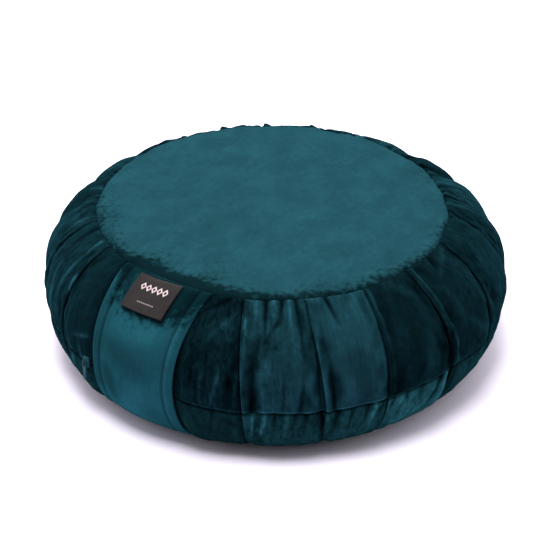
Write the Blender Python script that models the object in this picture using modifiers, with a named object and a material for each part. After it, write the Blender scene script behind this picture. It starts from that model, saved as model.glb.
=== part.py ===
"""Zafu: a round filled cushion with a crowned top, a pleated side, a carry handle and a zip.

Metres, +Z up. The origin is the centre of the base, on the surface that the cushion stands on,
and the handle faces -Y. The side is described by s, which runs down its profile: 0 at the top
seam, 1 at the widest line and 2 where the side meets the base. A turn is an angle in degrees,
measured both ways round from the middle of the handle.
"""

import math

import bmesh
import bpy
from mathutils import Vector

# The cushion's outline.
WIDEST_RADIUS = 0.175
WIDEST_HEIGHT = 0.0592
TOP_SEAM_RADIUS = 0.1325
TOP_SEAM_HEIGHT = 0.1168
BASE_RADIUS = 0.1403
ZIP_SEAM_HEIGHT = 0.0456
CROWN_RISE = 0.006  # middle of the top above its seam
CROWN_POWER = 2.6  # higher is flatter in the middle
CROWN_ROWS = (0.3, 0.55, 0.75, 0.9, 1.0)  # shares of the top panel's radius
TOP_LEAN = (-0.0135, 0.0052)  # rise of the top for each metre along X and along Y

# How roundly the side leaves the top seam, passes its widest line and meets the base.
SHOULDER_SLOPE = 23.3  # degrees below level
SHOULDER_PULL = 0.024
BELLY_PULL_UP = 0.0278
BELLY_PULL_DOWN = 0.0304
BASE_PULL = 0.022

# Cloth, seams and gaps.
CLOTH = 0.002
GAP = 0.0004  # between pieces that lie on each other
CUT = 0.0003  # between the two bands of the side
SEAM_GAP = 0.0006  # round the rim of the top and base panels
PANEL_RADIUS = TOP_SEAM_RADIUS - 0.0021
PINCH_TOP = 0.0012  # how far the top seam draws the cloth in
PINCH_ZIP = 0.002  # how far the zip seam draws the side in
PINCH_REACH = 0.13  # in s
PINCH_REACH_TOP = 0.007  # along the top panel, in metres

# Pleats, in order away from the handle. Each has its fold on the side that faces the handle.
# Turns in degrees at the top seam and at the base, and depth in mm at the widest line.
PLEATS_RIGHT = (
    # top, base, depth
    (27.6, 30.5, 6.5),
    (45.5, 49.5, 7.0),
    (63.7, 64.2, 4.0),
    (81.0, 85.0, 6.0),
    (103.3, 101.3, 5.5),
    (124.3, 118.5, 6.0),
    (137.8, 134.3, 5.0),
    (152.3, 153.5, 5.5),
    (170.3, 168.9, 5.0),
)
PLEATS_LEFT = (
    # top, base, depth
    (25.7, 27.7, 6.0),
    (43.7, 48.7, 6.5),
    (60.7, 62.2, 5.5),
    (77.7, 79.0, 5.0),
    (93.7, 92.5, 6.0),
    (109.7, 111.2, 5.0),
    (124.3, 125.0, 5.5),
    (139.6, 138.1, 6.0),
    (155.7, 157.0, 5.0),
    (172.0, 171.2, 5.5),
)

# Across one pleat, from its fold to the next fold. Share is the part of the way,
# and lift is how far the cloth stands out, as a share of the pleat's depth.
PLEAT_SHAPE = (
    # share, lift
    (0.00, -1.00),
    (0.07, 0.50),
    (0.19, 0.35),
    (0.34, -0.20),
    (0.62, 0.35),
    (0.88, 0.15),
)
# The plain cloth between the handle and the first pleat on each side.
PLAIN_SHAPE = (
    # share, lift
    (0.40, 0.25),
    (0.80, 0.15),
)
# How deep the pleats are down the side, as a share of their depth at the widest line.
PLEAT_FADE = (
    # s, share
    (0.0, 0.12),
    (0.4, 0.80),
    (1.0, 1.00),
    (1.15, 0.70),
    (1.5, 0.80),
    (2.0, 0.00),
)

# Carry handle.
HANDLE_WIDTH = 0.074
HANDLE_CLOTH = 0.0024
HANDLE_PROUD_TOP = 0.0014  # how far it stands out of the side at the top seam
HANDLE_DRIFT = 1.6  # degrees that its middle moves anticlockwise towards the top
HANDLE_COLUMNS = 6
HANDLE_SIDE_GAP = 0.0006
HANDLE_SIDE_SLOPE = 0.0014  # width of the slope beside its edge

# Woven tab over the handle.
TAB_WIDTH = 0.035
TAB_LENGTH = 0.030
TAB_CLOTH = 0.001
TAB_LIFT = 0.0018  # its lower edge stands off the handle

# Zip slider and pull.
ZIP_TURN = 14.6
SLIDER_SIZE = (0.0056, 0.0022, 0.0085)  # across, out, down
SLIDER_OUT = -0.0004  # its back face beyond the smooth side, in the hollow of the seam
SLIDER_ROUND = 0.0007
ARCH_RADIUS = 0.0027
ARCH_WIRE = 0.0006  # radius
PULL_LENGTH = 0.0155
PULL_WIDTH_TOP = 0.0042
PULL_WIDTH_END = 0.0024
PULL_THICKNESS = 0.001
PULL_EYE = (0.002, 0.0033)  # across, down
PULL_BAR = 0.001  # metal above the eye
PULL_OUT = 0.0011  # its middle beyond the slider's outer face

# Fineness of the meshes.
UPPER_ROWS = 10
LOWER_ROWS = 7
PANEL_STEPS = 64

COLOURS = {
    # name: base colour, roughness, metallic
    "top_panel": ((0.022, 0.105, 0.135), 0.85, 0.0),
    "side_upper": ((0.008, 0.045, 0.062), 0.85, 0.0),
    "side_lower": ((0.010, 0.050, 0.066), 0.85, 0.0),
    "base_panel": ((0.012, 0.058, 0.075), 0.90, 0.0),
    "carry_handle": ((0.016, 0.080, 0.105), 0.85, 0.0),
    "label_tab": ((0.048, 0.040, 0.042), 0.95, 0.0),
    "zip_slider": ((0.020, 0.110, 0.130), 0.35, 0.6),
    "zip_pull": ((0.020, 0.110, 0.130), 0.35, 0.6),
}


def clear_scene():
    for obj in list(bpy.data.objects):
        bpy.data.objects.remove(obj)


def collection_named(name):
    found = bpy.data.collections.new(name)
    bpy.context.scene.collection.children.link(found)
    return found


def material_for(name):
    colour, roughness, metallic = COLOURS[name]
    mat = bpy.data.materials.new(name)
    mat.use_nodes = True
    shader = mat.node_tree.nodes["Principled BSDF"]
    shader.inputs["Base Color"].default_value = (*colour, 1.0)
    shader.inputs["Roughness"].default_value = roughness
    shader.inputs["Metallic"].default_value = metallic
    return mat


def add_object(name, mesh, home):
    obj = bpy.data.objects.new(name, mesh)
    home.objects.link(obj)
    mesh.materials.clear()
    mesh.materials.append(material_for(name))
    return obj


def mesh_from(bm, name):
    mesh = bpy.data.meshes.new(name)
    bm.to_mesh(mesh)
    bm.free()
    mesh.shade_smooth()
    mesh.set_sharp_from_angle(angle=math.radians(40))
    return mesh


def between(table, x):
    """Reads a table of (x, value) rows at x, with straight lines between the rows."""
    for (x0, v0), (x1, v1) in zip(table, table[1:]):
        if x <= x1:
            return v0 + (v1 - v0) * (x - x0) / (x1 - x0)
    return table[-1][1]


# The side's profile.


def bezier(points, t):
    a, b, c, d = points
    u = 1 - t
    return a * u**3 + b * (3 * u * u * t) + c * (3 * u * t * t) + d * t**3


def profile(s):
    """Radius and height of the smooth side at s."""
    widest = Vector((WIDEST_RADIUS, WIDEST_HEIGHT))
    if s <= 1:
        top = Vector((TOP_SEAM_RADIUS, TOP_SEAM_HEIGHT))
        slope = math.radians(SHOULDER_SLOPE)
        leave = top + SHOULDER_PULL * Vector((math.cos(slope), -math.sin(slope)))
        return bezier((top, leave, widest + Vector((0, BELLY_PULL_UP)), widest), s)
    base = Vector((BASE_RADIUS, 0))
    drop = widest - Vector((0, BELLY_PULL_DOWN))
    return bezier((widest, drop, base + Vector((BASE_PULL, 0)), base), s - 1)


def profile_normal(s):
    step = 0.001
    low = max(s - step, 0)
    high = min(s + step, 2)
    along = (profile(high) - profile(low)).normalized()
    return Vector((-along.y, along.x))


def s_at_height(height):
    """The s below the widest line at which the side is at this height."""
    low, high = 1.0, 2.0
    while high - low > 1e-7:
        middle = (low + high) / 2
        if profile(middle).y > height:
            low = middle
        else:
            high = middle
    return low


def s_after(length):
    """The s that lies this length down the side from the top seam."""
    step = 0.002
    s, gone = 0.0, 0.0
    while gone < length:
        gone += (profile(s + step) - profile(s)).length
        s += step
    return s


S_ZIP = s_at_height(ZIP_SEAM_HEIGHT)


def leaned(point):
    """The same point after the filling has settled: the top leans a little."""
    share = min(1.0, max(0.0, point.z) / TOP_SEAM_HEIGHT) ** 2
    rise = TOP_LEAN[0] * point.x + TOP_LEAN[1] * point.y
    return point + Vector((0, 0, rise * share))


def on_side(turn, s, out=0.0):
    """A point of the side, a distance out from its smooth form."""
    place = profile(s) + profile_normal(s) * out
    angle = math.radians(turn - 90)
    return leaned(Vector((place.x * math.cos(angle), place.x * math.sin(angle), place.y)))


# The handle's place on the side.


def handle_middle(s):
    return HANDLE_DRIFT * max(0.0, 1 - s)


def half_width_turn(s, width=HANDLE_WIDTH):
    return math.degrees(width / 2 / profile(s).x)


def handle_proud(s):
    """How far the handle's outer face stands out: less towards the base, where it lies flush."""
    return HANDLE_PROUD_TOP * (1 - s / 2)


# The pleated side.


def seam_pinch(s):
    """How far the two seams draw the side in at s."""
    top = PINCH_TOP * math.exp(-((s / PINCH_REACH) ** 2))
    return top + PINCH_ZIP * math.exp(-(((s - S_ZIP) / PINCH_REACH) ** 2))


def half_ring(pleats, s, sign):
    """Turns and offsets down one half of the side at s, from the handle to the back."""
    fade = between(PLEAT_FADE, s)
    pinch = seam_pinch(s)
    edge = sign * handle_middle(s) + half_width_turn(s, HANDLE_WIDTH + 2 * HANDLE_SIDE_GAP)
    slope = math.degrees(HANDLE_SIDE_SLOPE / profile(s).x)
    sunk = handle_proud(s) - HANDLE_CLOTH - GAP
    folds = [(top + (base - top) * s / 2, depth / 1000 * fade) for top, base, depth in pleats]
    folds.append((180.0, 0.0))
    ring = [(edge, sunk), (edge + slope, -pinch)]
    start = edge + slope
    plain_depth = folds[0][1]
    for share, lift in PLAIN_SHAPE:
        ring.append((start + (folds[0][0] - start) * share, lift * plain_depth - pinch))
    for (turn, depth), (following, _) in zip(folds, folds[1:]):
        for share, lift in PLEAT_SHAPE:
            ring.append((turn + (following - turn) * share, lift * depth - pinch))
    return [(sign * turn, out) for turn, out in ring]


def handle_ring(s):
    """Turns and offsets of the side under the handle, from its left edge to its right edge."""
    half = half_width_turn(s)
    sunk = handle_proud(s) - HANDLE_CLOTH - GAP
    inner = range(HANDLE_COLUMNS + 1)
    return [(handle_middle(s) + half * (2 * i / HANDLE_COLUMNS - 1), sunk) for i in inner]


def side_ring(s):
    """The points all round the side at s."""
    left = half_ring(PLEATS_LEFT, s, -1)
    places = handle_ring(s) + half_ring(PLEATS_RIGHT, s, 1) + left[::-1]
    return [on_side(turn, s, out) for turn, out in places]


def flattened(ring, height):
    return [Vector((p.x, p.y, height)) for p in ring]


def drawn_to(ring, radius, height):
    """The same directions as the ring, as a circle of this radius and height."""
    circle = []
    for p in ring:
        flat = Vector((p.x, p.y)).normalized() * radius
        circle.append(Vector((flat.x, flat.y, height)))
    return circle


def loft(name, first, rings, last, home):
    """One closed body through the rings, with a point at each end."""
    bm = bmesh.new()
    rows = [[bm.verts.new(p) for p in ring] for ring in rings]
    start = bm.verts.new(first)
    end = bm.verts.new(last)
    count = len(rings[0])
    for i in range(count):
        j = (i + 1) % count
        bm.faces.new((start, rows[0][i], rows[0][j]))
        for upper, lower in zip(rows, rows[1:]):
            bm.faces.new((upper[i], lower[i], lower[j], upper[j]))
        bm.faces.new((rows[-1][i], end, rows[-1][j]))
    return add_object(name, mesh_from(bm, name), home)


def crown(radius):
    """Height of the top panel's upper face at this radius."""
    rise = CROWN_RISE * (1 - (radius / TOP_SEAM_RADIUS) ** CROWN_POWER)
    pinch = PINCH_TOP * math.exp(-(((TOP_SEAM_RADIUS - radius) / PINCH_REACH_TOP) ** 2))
    return TOP_SEAM_HEIGHT + rise - pinch


def make_side_upper(home):
    under = CLOTH + GAP
    s_rows = [S_ZIP * i / UPPER_ROWS for i in range(UPPER_ROWS + 1)]
    side = [side_ring(s) for s in s_rows]
    side[-1] = flattened(side[-1], ZIP_SEAM_HEIGHT + CUT / 2)
    places = [(PANEL_RADIUS * share, crown(PANEL_RADIUS * share)) for share in CROWN_ROWS]
    places.append((PANEL_RADIUS + SEAM_GAP, crown(PANEL_RADIUS)))
    rings = []
    for radius, height in places:
        ring = drawn_to(side[0], radius, height - under)
        rings.append([leaned(p) for p in ring])
    top = Vector((0, 0, crown(0) - under))
    bottom = Vector((0, 0, ZIP_SEAM_HEIGHT + CUT / 2))
    return loft("side_upper", top, rings + side, bottom, home)


def make_side_lower(home):
    s_rows = [S_ZIP + (2 - S_ZIP) * i / LOWER_ROWS for i in range(LOWER_ROWS + 1)]
    side = [side_ring(s) for s in s_rows]
    side[0] = flattened(side[0], ZIP_SEAM_HEIGHT - CUT / 2)
    rim = side[-1]
    base_gap = HANDLE_CLOTH + GAP
    lip = BASE_RADIUS - CLOTH
    inner = [Vector((*p.xy.normalized() * lip, p.z)) for p in rim]
    roof = drawn_to(rim, lip, base_gap)
    top = Vector((0, 0, ZIP_SEAM_HEIGHT - CUT / 2))
    return loft("side_lower", top, side + [inner, roof], Vector((0, 0, base_gap)), home)


# The panels.


def make_top_panel(home):
    """A turned sheet that follows the crown, tilted with the top."""
    radii = [PANEL_RADIUS * share for share in (0, *CROWN_ROWS)]
    outer = [(r, crown(r) - TOP_SEAM_HEIGHT) for r in radii]
    inner = [(r, z - CLOTH) for r, z in reversed(outer)]
    outline = outer + inner
    mesh = bpy.data.meshes.new("top_panel")
    edges = [(i, i + 1) for i in range(len(outline) - 1)]
    mesh.from_pydata([(r, 0, z) for r, z in outline], edges, [])
    obj = add_object("top_panel", mesh, home)
    obj.location.z = TOP_SEAM_HEIGHT
    obj.rotation_euler = (math.atan(TOP_LEAN[1]), -math.atan(TOP_LEAN[0]), 0)
    screw = obj.modifiers.new("turned", "SCREW")
    screw.axis = "Z"
    screw.steps = PANEL_STEPS
    screw.render_steps = PANEL_STEPS
    screw.use_merge_vertices = True
    screw.merge_threshold = 0.00005
    screw.use_smooth_shade = True
    return obj


def make_base_panel(home):
    radius = BASE_RADIUS - CLOTH - SEAM_GAP
    bm = bmesh.new()
    bmesh.ops.create_cone(
        bm, cap_ends=True, segments=PANEL_STEPS, radius1=radius, radius2=radius, depth=CLOTH
    )
    obj = add_object("base_panel", mesh_from(bm, "base_panel"), home)
    obj.location.z = CLOTH / 2
    return obj


def sheet_on_side(name, columns, rows, place, thickness, home):
    """A grid whose points place() lays on the side, thickened inwards."""
    bm = bmesh.new()
    bmesh.ops.create_grid(bm, x_segments=columns, y_segments=rows, size=0.5)
    for v in bm.verts:
        v.co = place(v.co.x + 0.5, 0.5 - v.co.y)
    obj = add_object(name, mesh_from(bm, name), home)
    solid = obj.modifiers.new("thickness", "SOLIDIFY")
    solid.thickness = thickness
    solid.offset = -1
    solid.use_even_offset = True
    return obj


def make_handle(home):
    rows = UPPER_ROWS + LOWER_ROWS

    def place(across, down):
        row = round(down * rows)
        if row <= UPPER_ROWS:
            s = S_ZIP * row / UPPER_ROWS
        else:
            s = S_ZIP + (2 - S_ZIP) * (row - UPPER_ROWS) / LOWER_ROWS
        turn = handle_middle(s) + half_width_turn(s) * (2 * across - 1)
        return on_side(turn, s, handle_proud(s))

    return sheet_on_side("carry_handle", HANDLE_COLUMNS, rows, place, HANDLE_CLOTH, home)


def make_tab(home):
    def place(across, down):
        s = s_after(TAB_LENGTH * down)
        turn = handle_middle(s) + half_width_turn(s, TAB_WIDTH) * (2 * across - 1)
        return on_side(turn, s, handle_proud(s) + GAP + TAB_CLOTH + TAB_LIFT * down**2)

    return sheet_on_side("label_tab", 4, 6, place, TAB_CLOTH, home)


# The zip.


def zip_place(out, height):
    """Where the zip's pieces stand: a distance out from the smooth side at the zip seam."""
    angle = math.radians(-ZIP_TURN - 90)
    radius = profile(S_ZIP).x + out
    return Vector((radius * math.cos(angle), radius * math.sin(angle), height))


def make_slider(home, cutters):
    across, out, down = SLIDER_SIZE
    bm = bmesh.new()
    bmesh.ops.create_cube(bm, size=1)
    bmesh.ops.scale(bm, vec=(across, out, down), verts=bm.verts)
    body = add_object("zip_slider", mesh_from(bm, "zip_slider"), home)
    body.location = zip_place(SLIDER_OUT + out / 2, ZIP_SEAM_HEIGHT)
    body.rotation_euler.z = math.radians(-ZIP_TURN)
    rounded = body.modifiers.new("rounded", "BEVEL")
    rounded.width = SLIDER_ROUND
    rounded.segments = 2

    bpy.ops.mesh.primitive_torus_add(
        major_radius=ARCH_RADIUS, minor_radius=ARCH_WIRE, major_segments=20, minor_segments=8
    )
    arch = bpy.context.object
    arch.name = "arch"
    arch.users_collection[0].objects.unlink(arch)
    cutters.objects.link(arch)
    arch.hide_render = True
    arch.display_type = "WIRE"
    arch.location = zip_place(SLIDER_OUT + out, ZIP_SEAM_HEIGHT)
    arch.rotation_euler = (0, math.radians(90), math.radians(-ZIP_TURN))
    union = body.modifiers.new("arch", "BOOLEAN")
    union.operation = "UNION"
    union.object = arch
    return body


def slot_points(across, down, steps):
    """A slot's outline about the origin, with round ends above and below."""
    radius = across / 2
    straight = (down - across) / 2
    points = []
    for end, begin in ((straight, 0), (-straight, 180)):
        for i in range(steps + 1):
            angle = math.radians(begin + 180 * i / steps)
            points.append((radius * math.cos(angle), end + radius * math.sin(angle)))
    return points


def pull_points(steps):
    """The pull's outline: a round head, a taper and a round tip, with its head's top at 0."""
    head = PULL_WIDTH_TOP / 2
    tip = PULL_WIDTH_END / 2
    points = []
    for radius, centre, begin in ((head, -head, 0), (tip, tip - PULL_LENGTH, 180)):
        for i in range(steps + 1):
            angle = math.radians(begin + 180 * i / steps)
            points.append((radius * math.cos(angle), centre + radius * math.sin(angle)))
    return points


def add_loop(curve, points):
    spline = curve.splines.new("POLY")
    spline.points.add(len(points) - 1)
    for point, (x, y) in zip(spline.points, points):
        point.co = (x, y, 0, 1)
    spline.use_cyclic_u = True


def make_pull(home):
    """A flat metal pull, hung by its eye from the slider's arch."""
    curve = bpy.data.curves.new("zip_pull", "CURVE")
    curve.dimensions = "2D"
    curve.fill_mode = "BOTH"
    curve.extrude = PULL_THICKNESS / 2
    add_loop(curve, pull_points(8))
    eye_middle = -PULL_BAR - PULL_EYE[1] / 2
    add_loop(curve, [(x, y + eye_middle) for x, y in slot_points(*PULL_EYE, 6)])
    obj = bpy.data.objects.new("zip_pull", curve)
    home.objects.link(obj)
    curve.materials.append(material_for("zip_pull"))
    out = SLIDER_OUT + SLIDER_SIZE[1] + PULL_OUT
    obj.location = zip_place(out, ZIP_SEAM_HEIGHT + PULL_BAR / 2)
    obj.rotation_euler = (math.radians(90), 0, math.radians(-ZIP_TURN))
    return obj


def main():
    clear_scene()
    home = collection_named("zafu")
    cutters = collection_named("cutters")
    make_top_panel(home)
    make_side_upper(home)
    make_side_lower(home)
    make_base_panel(home)
    make_handle(home)
    make_tab(home)
    make_slider(home, cutters)
    make_pull(home)


main()
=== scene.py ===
"""Looks of the zafu: velvet top panel, pleated velvet side, carry handle, woven tab and zip.

Metres, in the frame's own axes: +Z up, the handle on -Y. A place on the side is given by its
turn, in degrees anticlockwise from the middle of the handle as seen from above, and by how far
down the cloth it lies from the top seam. Tables give that length, and depths, in mm.
"""

import math

import bpy
import numpy as np
from mathutils import Matrix, Vector, noise


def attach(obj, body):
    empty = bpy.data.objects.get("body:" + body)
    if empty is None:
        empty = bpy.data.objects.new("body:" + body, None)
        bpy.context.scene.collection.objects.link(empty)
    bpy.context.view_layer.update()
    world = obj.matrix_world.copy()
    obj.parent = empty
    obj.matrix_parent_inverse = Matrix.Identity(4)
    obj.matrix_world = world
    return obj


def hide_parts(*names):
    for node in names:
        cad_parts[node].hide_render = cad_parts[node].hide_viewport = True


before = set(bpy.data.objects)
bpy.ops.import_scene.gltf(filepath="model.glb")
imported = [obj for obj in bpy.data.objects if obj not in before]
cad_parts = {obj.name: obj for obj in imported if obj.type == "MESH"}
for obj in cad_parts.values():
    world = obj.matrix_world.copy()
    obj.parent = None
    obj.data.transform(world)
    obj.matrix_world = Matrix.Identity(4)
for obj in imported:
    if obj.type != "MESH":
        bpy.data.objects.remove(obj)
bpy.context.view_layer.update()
scene = bpy.context.scene

MM = 0.001
BODY = "root"

# The cushion's outline.
WIDEST_RADIUS = 0.175
WIDEST_HEIGHT = 0.0592
TOP_SEAM_RADIUS = 0.1325
TOP_SEAM_HEIGHT = 0.1168
BASE_RADIUS = 0.1403
ZIP_SEAM_HEIGHT = 0.0456
CROWN_RISE = 0.006
CROWN_POWER = 2.6
TOP_LEAN = (-0.0135, 0.0052)  # rise of the top's plane along +X and +Y, per metre
SHOULDER_SLOPE = 23.3  # degrees below level, where the side leaves the top seam
# Its curves' handles.
SHOULDER_PULL = 0.024
BELLY_PULL_UP = 0.0278
BELLY_PULL_DOWN = 0.0304
BASE_PULL = 0.022

# The top seam has settled a little towards the handle, and wanders in and up.
TOP_SHIFT = 0.0032
TOP_SHIFT_TURN = -8  # degrees
TOP_SHIFT_REACH = 0.032
SEAM_WANDER_IN = 0.8 * MM
SEAM_WANDER_UP = 0.7 * MM
SEAM_WANDER_REACH = 14 * MM

# How cloth rolls down into its seams: how deep, and over what length, in mm.
SIDE_TOP_ROLL = (2.6, 4.0)
SIDE_ZIP_ROLL = (1.5, 2.2)
PANEL_ROLL = (2.8, 4.4)
HANDLE_ROLL = (2.4, 4.0)
TAB_ROLL = (1.8, 4.0)

# The panels end just inside their seams.
TOP_RIM = TOP_SEAM_RADIUS - 0.5 * MM
BASE_RIM = BASE_RADIUS - 2.2 * MM
TOP_CLOTH = 1.6 * MM
BASE_CLOTH = 2 * MM

# Handle and tab.
HANDLE_WIDTH = 0.074
HANDLE_CLOTH = 0.0024
HANDLE_PROUD = 0.0014
HANDLE_DRIFT = 1.6  # degrees at the top seam
HANDLE_DRIFT_END = 0.085  # down the side
HANDLE_CLEAR = 13.5  # degrees from its middle, where the side's own shape begins
HANDLE_FADE = 1.5  # degrees over which it comes in
STITCH_INSET = 0.0082
TAB_WIDTH = 0.035
TAB_LENGTH = 0.030
TAB_CLOTH = 0.0007
TAB_DROP = 2.0  # mm, below the seam that holds it

# The camera stands where the photo's did.
CAMERA_TURN = 36.3  # degrees, anticlockwise from the handle's direction
CAMERA_RISE = 32.35  # degrees
CAMERA_DISTANCE = 1.5
CAMERA_LENS = 124.93
CAMERA_AIM = (0, 0, 0.0541)
CAMERA_ROLL = 0.435  # degrees

# The studio's light, by how far a direction points away from the camera and to either side of
# it, from -1 to 1: where each share of it starts and ends, and its strength at those two places.
STUDIO_BEYOND = (-0.5, 0.3, 0.08, 2.1)
STUDIO_SIDES = (0.66, 1.0, 0.0, 1.25)
# A soft lamp nearly overhead.
KEY_PLACE = (-0.18, -0.33, 2.0)  # right of the camera's line, away from it and up
KEY_SIZE = 0.9
KEY_WATTS = 47.5

# Pleats, in order away from the handle, each with its fold on the side that faces the handle.
# Turns at the top seam and at the base; depth; how far the fold gapes low down; how deep the
# hollow behind it is, from 0 to 1; and how light its nap lies above and below the zip seam.
PLEATS_RIGHT = (
    # top, base, depth, gape, hollow, nap above, nap below
    (27.6, 30.0, 3.6, 0.6, 1.0, 1.15, 1.02),
    (45.5, 49.5, 3.4, 3.0, 0.7, 1.36, 1.24),
    (63.7, 64.2, 2.8, 1.0, 0.0, 0.34, 2.12),
    (81.0, 85.0, 3.6, 2.6, 0.4, 0.4, 0.75),
    (103.3, 101.3, 4.4, 1.0, 0.6, 0.5, 0.7),
    (124.3, 118.5, 6.0, 1.5, 0.3, 0.5, 0.8),
    (137.8, 134.3, 5.0, 0.5, 0.6, 0.95, 0.6),
    (152.3, 153.5, 5.5, 2.0, 0.3, 0.45, 0.9),
    (170.3, 168.9, 5.0, 0.6, 0.4, 0.8, 0.6),
)
PLEATS_LEFT = (
    (25.7, 27.7, 4.4, 1.0, 0.6, 0.6, 0.7),
    (43.7, 48.7, 5.4, 1.5, 0.6, 0.82, 0.8),
    (60.7, 62.2, 5.5, 1.0, 0.3, 0.5, 0.7),
    (77.7, 79.0, 5.0, 0.6, 0.5, 0.74, 0.6),
    (93.7, 92.5, 6.0, 2.0, 0.3, 0.45, 0.85),
    (109.7, 111.2, 5.0, 0.6, 0.6, 0.9, 0.65),
    (124.3, 125.0, 5.5, 1.2, 0.4, 0.55, 0.9),
    (139.6, 138.1, 6.0, 1.5, 0.3, 0.95, 0.6),
    (155.7, 157.0, 5.0, 0.6, 0.5, 0.5, 0.8),
    (172.0, 171.2, 5.5, 1.2, 0.4, 0.85, 0.6),
)
# The nap of the cloth between the handle and the first pleat, above and below the zip seam.
PLAIN_NAP_RIGHT = (0.34, 0.60)
PLAIN_NAP_LEFT = (0.42, 0.75)

# Across a pleat, in mm away from its fold line and as shares of its depth: first the roll of
# the fold and the hollow behind it, then the cloth that runs in under the next fold. The last
# column paints shade inside a fold and a light sheen along its edge.
FOLD_ROLL = (
    # across, lift, painted shade and sheen
    (1.0, -1.0, 0.45), (0.3, -0.55, 0.3), (-1.0, -0.1, 0.9),
    (-0.9, 0.25, 1.8), (0.6, 0.4, 1.15), (3.8, 0.36, 1.0),
    (7.8, 0.2, 1.0), (11.5, -0.05, 0.9), (16.5, 0.06, 1.0),
)
FOLD_TUCK = (
    (-11.0, 0.22, 1.0), (-6.0, 0.16, 1.0), (-2.8, 0.02, 0.88),
    (-0.9, -0.3, 0.55), (0.5, -0.7, 0.22), (1.0, -1.0, 0.45),
)
HOLLOW_PLACE = 11.5  # mm
HOLLOW_WIDTH = 3.5  # mm
HOLLOW_DEPTH = 0.45  # as a share of the pleat's depth
# Across the cloth that comes out from under the handle, in mm away from the handle's edge. Its
# last column paints shade beside and under the handle's edge.
HANDLE_SIDE = (
    # across, share of the handle's bed, lift, painted shade
    (-5.0, 1.0, 0.0, 0.4), (-1.0, 1.0, 0.0, 0.4), (0.6, 1.0, 0.0, 0.4),
    (3.0, 0.5, 0.0, 0.8), (8.0, 0.0, 0.3, 1.0), (14.0, 0.0, 0.9, 1.0),
)
# How deep the pleats are down the side, as a share of their depth.
PLEAT_FADE = (
    # mm down, share
    (0, 0.25), (12, 0.55), (35, 0.9), (75, 0.9), (96, 0.7), (112, 0.45),
    (125, 0.15), (140, 0.0),
)
# How far the folds gape down the side, as a share of their gape.
GAPE_SHARE = ((22, 0), (88, 1), (108, 0))  # mm down, share
COLUMN_SPACING = 1.22 * MM
ROW_SPACING = 1.28 * MM

# Creases in the side above the zip seam: from one place to another, the half width and depth at
# its start (a ridge where the depth is negative), and how it is painted along its middle: painted
# shade in a hollow, painted sheen along a ridge.
CREASES_UPPER = (
    # turn, mm down, to turn, to mm, half width, depth, painted shade and sheen
    (26.5, 13, 19.5, 38, 3.0, -1.2, 1.5),
    (24.6, 16, 25.8, 58, 5.0, -0.3, 1.3),
    (21.5, 22, 16.5, 34, 2.2, -0.4, 1.25),
    (23.0, 3, 17.5, 15, 3.0, 1.4, 0.45),
    (19.6, 58, 18.8, 84, 1.4, -0.8, 1.8),
    (23.8, 58, 21.2, 87, 1.6, -0.9, 1.9),
    (25.9, 60, 25.3, 87, 1.7, 1.2, 0.45),
    (17.0, 40, 16.6, 80, 2.2, 0.8, 0.65),
    (28.3, 8, 29.5, 52, 0.9, -0.5, 1.4),
    (27.6, 56, 27.0, 86, 1.3, -0.6, 1.6),
    (33.8, 0, 33.9, 33, 2.3, 3.2, 0.2),
    (38.4, 0, 37.8, 22, 2.1, 3.2, 0.2),
    (38.0, 16, 33.6, 37, 2.0, 1.6, 0.5),
    (42.3, 0, 43.4, 46, 1.9, 2.6, 0.28),
    (31.2, 2, 31.4, 26, 1.6, -1.0, 1.35),
    (36.1, 2, 36.1, 27, 1.5, -1.1, 1.45),
    (40.3, 2, 40.9, 34, 1.5, -1.0, 1.35),
    (34.6, 30, 33.5, 52, 5.0, 1.0, 0.62),
    (37.2, 38, 35.4, 40, 1.4, 0.8, 0.5),
    (32.8, 26, 31.8, 58, 2.2, 1.6, 0.55),
    (31.1, 90, 31.3, 36, 4.4, 3.4, 0.12),
    (33.7, 88, 33.4, 50, 1.4, -0.8, 1.25),
    (42.3, 88, 43.2, 50, 1.9, 1.5, 0.5),
    (38.2, 86, 38.6, 56, 1.4, 0.7, 0.75),
    (51.2, 2, 53.0, 25, 2.4, 2.8, 0.2),
    (50.4, 88, 49.2, 46, 2.6, 2.6, 0.25),
    (57.5, 92, 57.5, 48, 11.0, 0.5, 0.72),
    (20.5, 90, 20.5, 56, 11.0, 0.0, 1.2),
    (64.5, 3, 65.3, 84, 0.9, -0.6, 2.0),
    (27.5, 3, 28.5, 56, 1.3, 0.3, 0.65),
    (45.4, 3, 46.6, 36, 1.3, 0.3, 0.6),
    (66.5, 88, 67.0, 62, 6.0, 0.6, 0.6),
    (74.5, 86, 75.5, 46, 6.0, -0.5, 1.35),
    (71.5, 2, 76.0, 20, 4.0, -0.5, 1.4),
    (82.4, 2, 85.2, 84, 0.9, -0.6, 1.9),
    (85.0, 86, 84.6, 52, 0.9, -0.6, 1.7),
    (83.2, 86, 82.9, 48, 2.4, 1.2, 0.55),
    (98.5, 4, 87.5, 20, 2.6, -1.0, 1.45),
    (92.0, 2, 89.0, 16, 2.4, 1.3, 0.55),
    (98.0, 78, 90.0, 54, 4.0, -0.7, 1.5),
    (95.0, 84, 90.0, 66, 2.2, 0.9, 0.65),
    (-26.4, 34, -25.1, 68, 1.1, -0.7, 3.0),
    (-29.0, 4, -29.8, 26, 1.4, -0.8, 1.9),
    (-29.8, 26, -31.0, 54, 1.3, -0.8, 1.8),
    (-34.0, 78, -35.6, 36, 2.8, -0.8, 1.7),
    (-37.5, 2, -36.6, 26, 3.0, 1.4, 0.55),
    (-32.6, 40, -32.0, 76, 1.4, 0.8, 0.6),
    (-22.4, 90, -23.2, 64, 1.6, -0.7, 1.9),
    (-19.5, 90, -19.2, 70, 1.6, 0.9, 0.6),
    (-13.4, 66, -20.0, 73, 1.5, -0.9, 2.0),
    (-16.5, 92, -17.5, 74, 3.0, -0.6, 1.8),
    (-46.3, 6, -47.6, 40, 1.6, -0.8, 1.6),
    (-53.0, 2, -52.0, 24, 2.4, 1.4, 0.55),
)
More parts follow.
